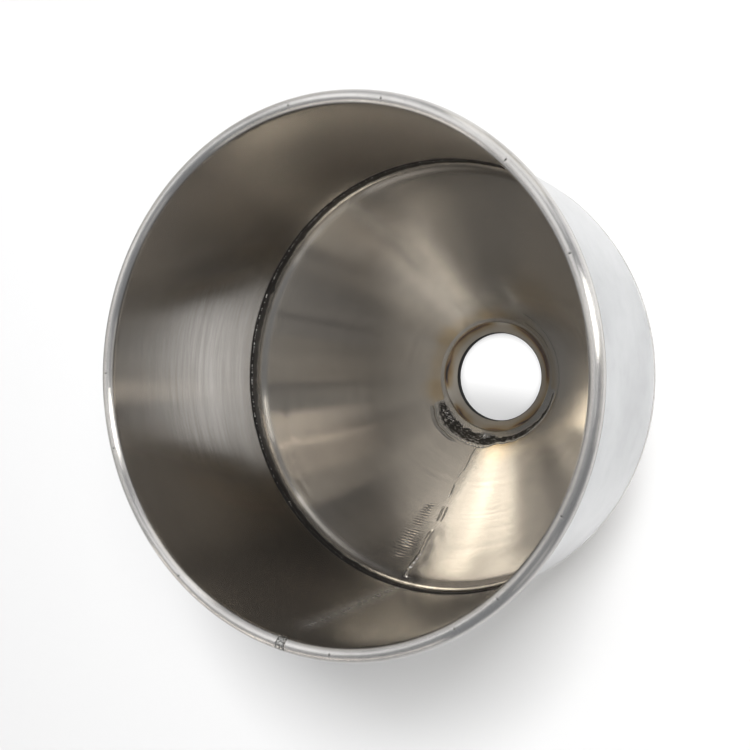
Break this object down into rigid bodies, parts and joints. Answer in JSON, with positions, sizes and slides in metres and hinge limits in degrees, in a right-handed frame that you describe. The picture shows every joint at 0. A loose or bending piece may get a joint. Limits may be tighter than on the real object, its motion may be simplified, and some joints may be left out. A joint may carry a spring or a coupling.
{
  "type": "feed hopper",
  "caption": "Round stainless steel hopper with a straight wall, curled rim, welded cone and a short thick outlet ring, for feeding loose material down through its bore.",
  "frame": {"origin": "centre of the outlet ring's flat underside, which is the bottom centre of the part", "axes": "+Z along the axis, up from the outlet to the mouth; -Y towards the seams in the cone and the rim"},
  "size_m": [0.2, 0.2, 0.1875],
  "materials": {
    "wall_steel": "polished outside, satin inside",
    "cone_steel": "satin, brushed round the axis",
    "ring_steel": "turned, tinted by heat",
    "girth_bead": "bare weld bead",
    "seam_bead": "partly ground weld bead",
    "outlet_bead": "ground weld bead with rough dark places",
    "rim_bead": "ground weld plug"
  },
  "bodies": {
    "root": {"wall": "wall_steel", "cone": "cone_steel", "outlet_ring": "ring_steel", "girth_weld": "girth_bead", "cone_seam_weld": "seam_bead", "outlet_weld": "outlet_bead", "rim_seam_weld": "rim_bead"}
  },
  "joints": []
}
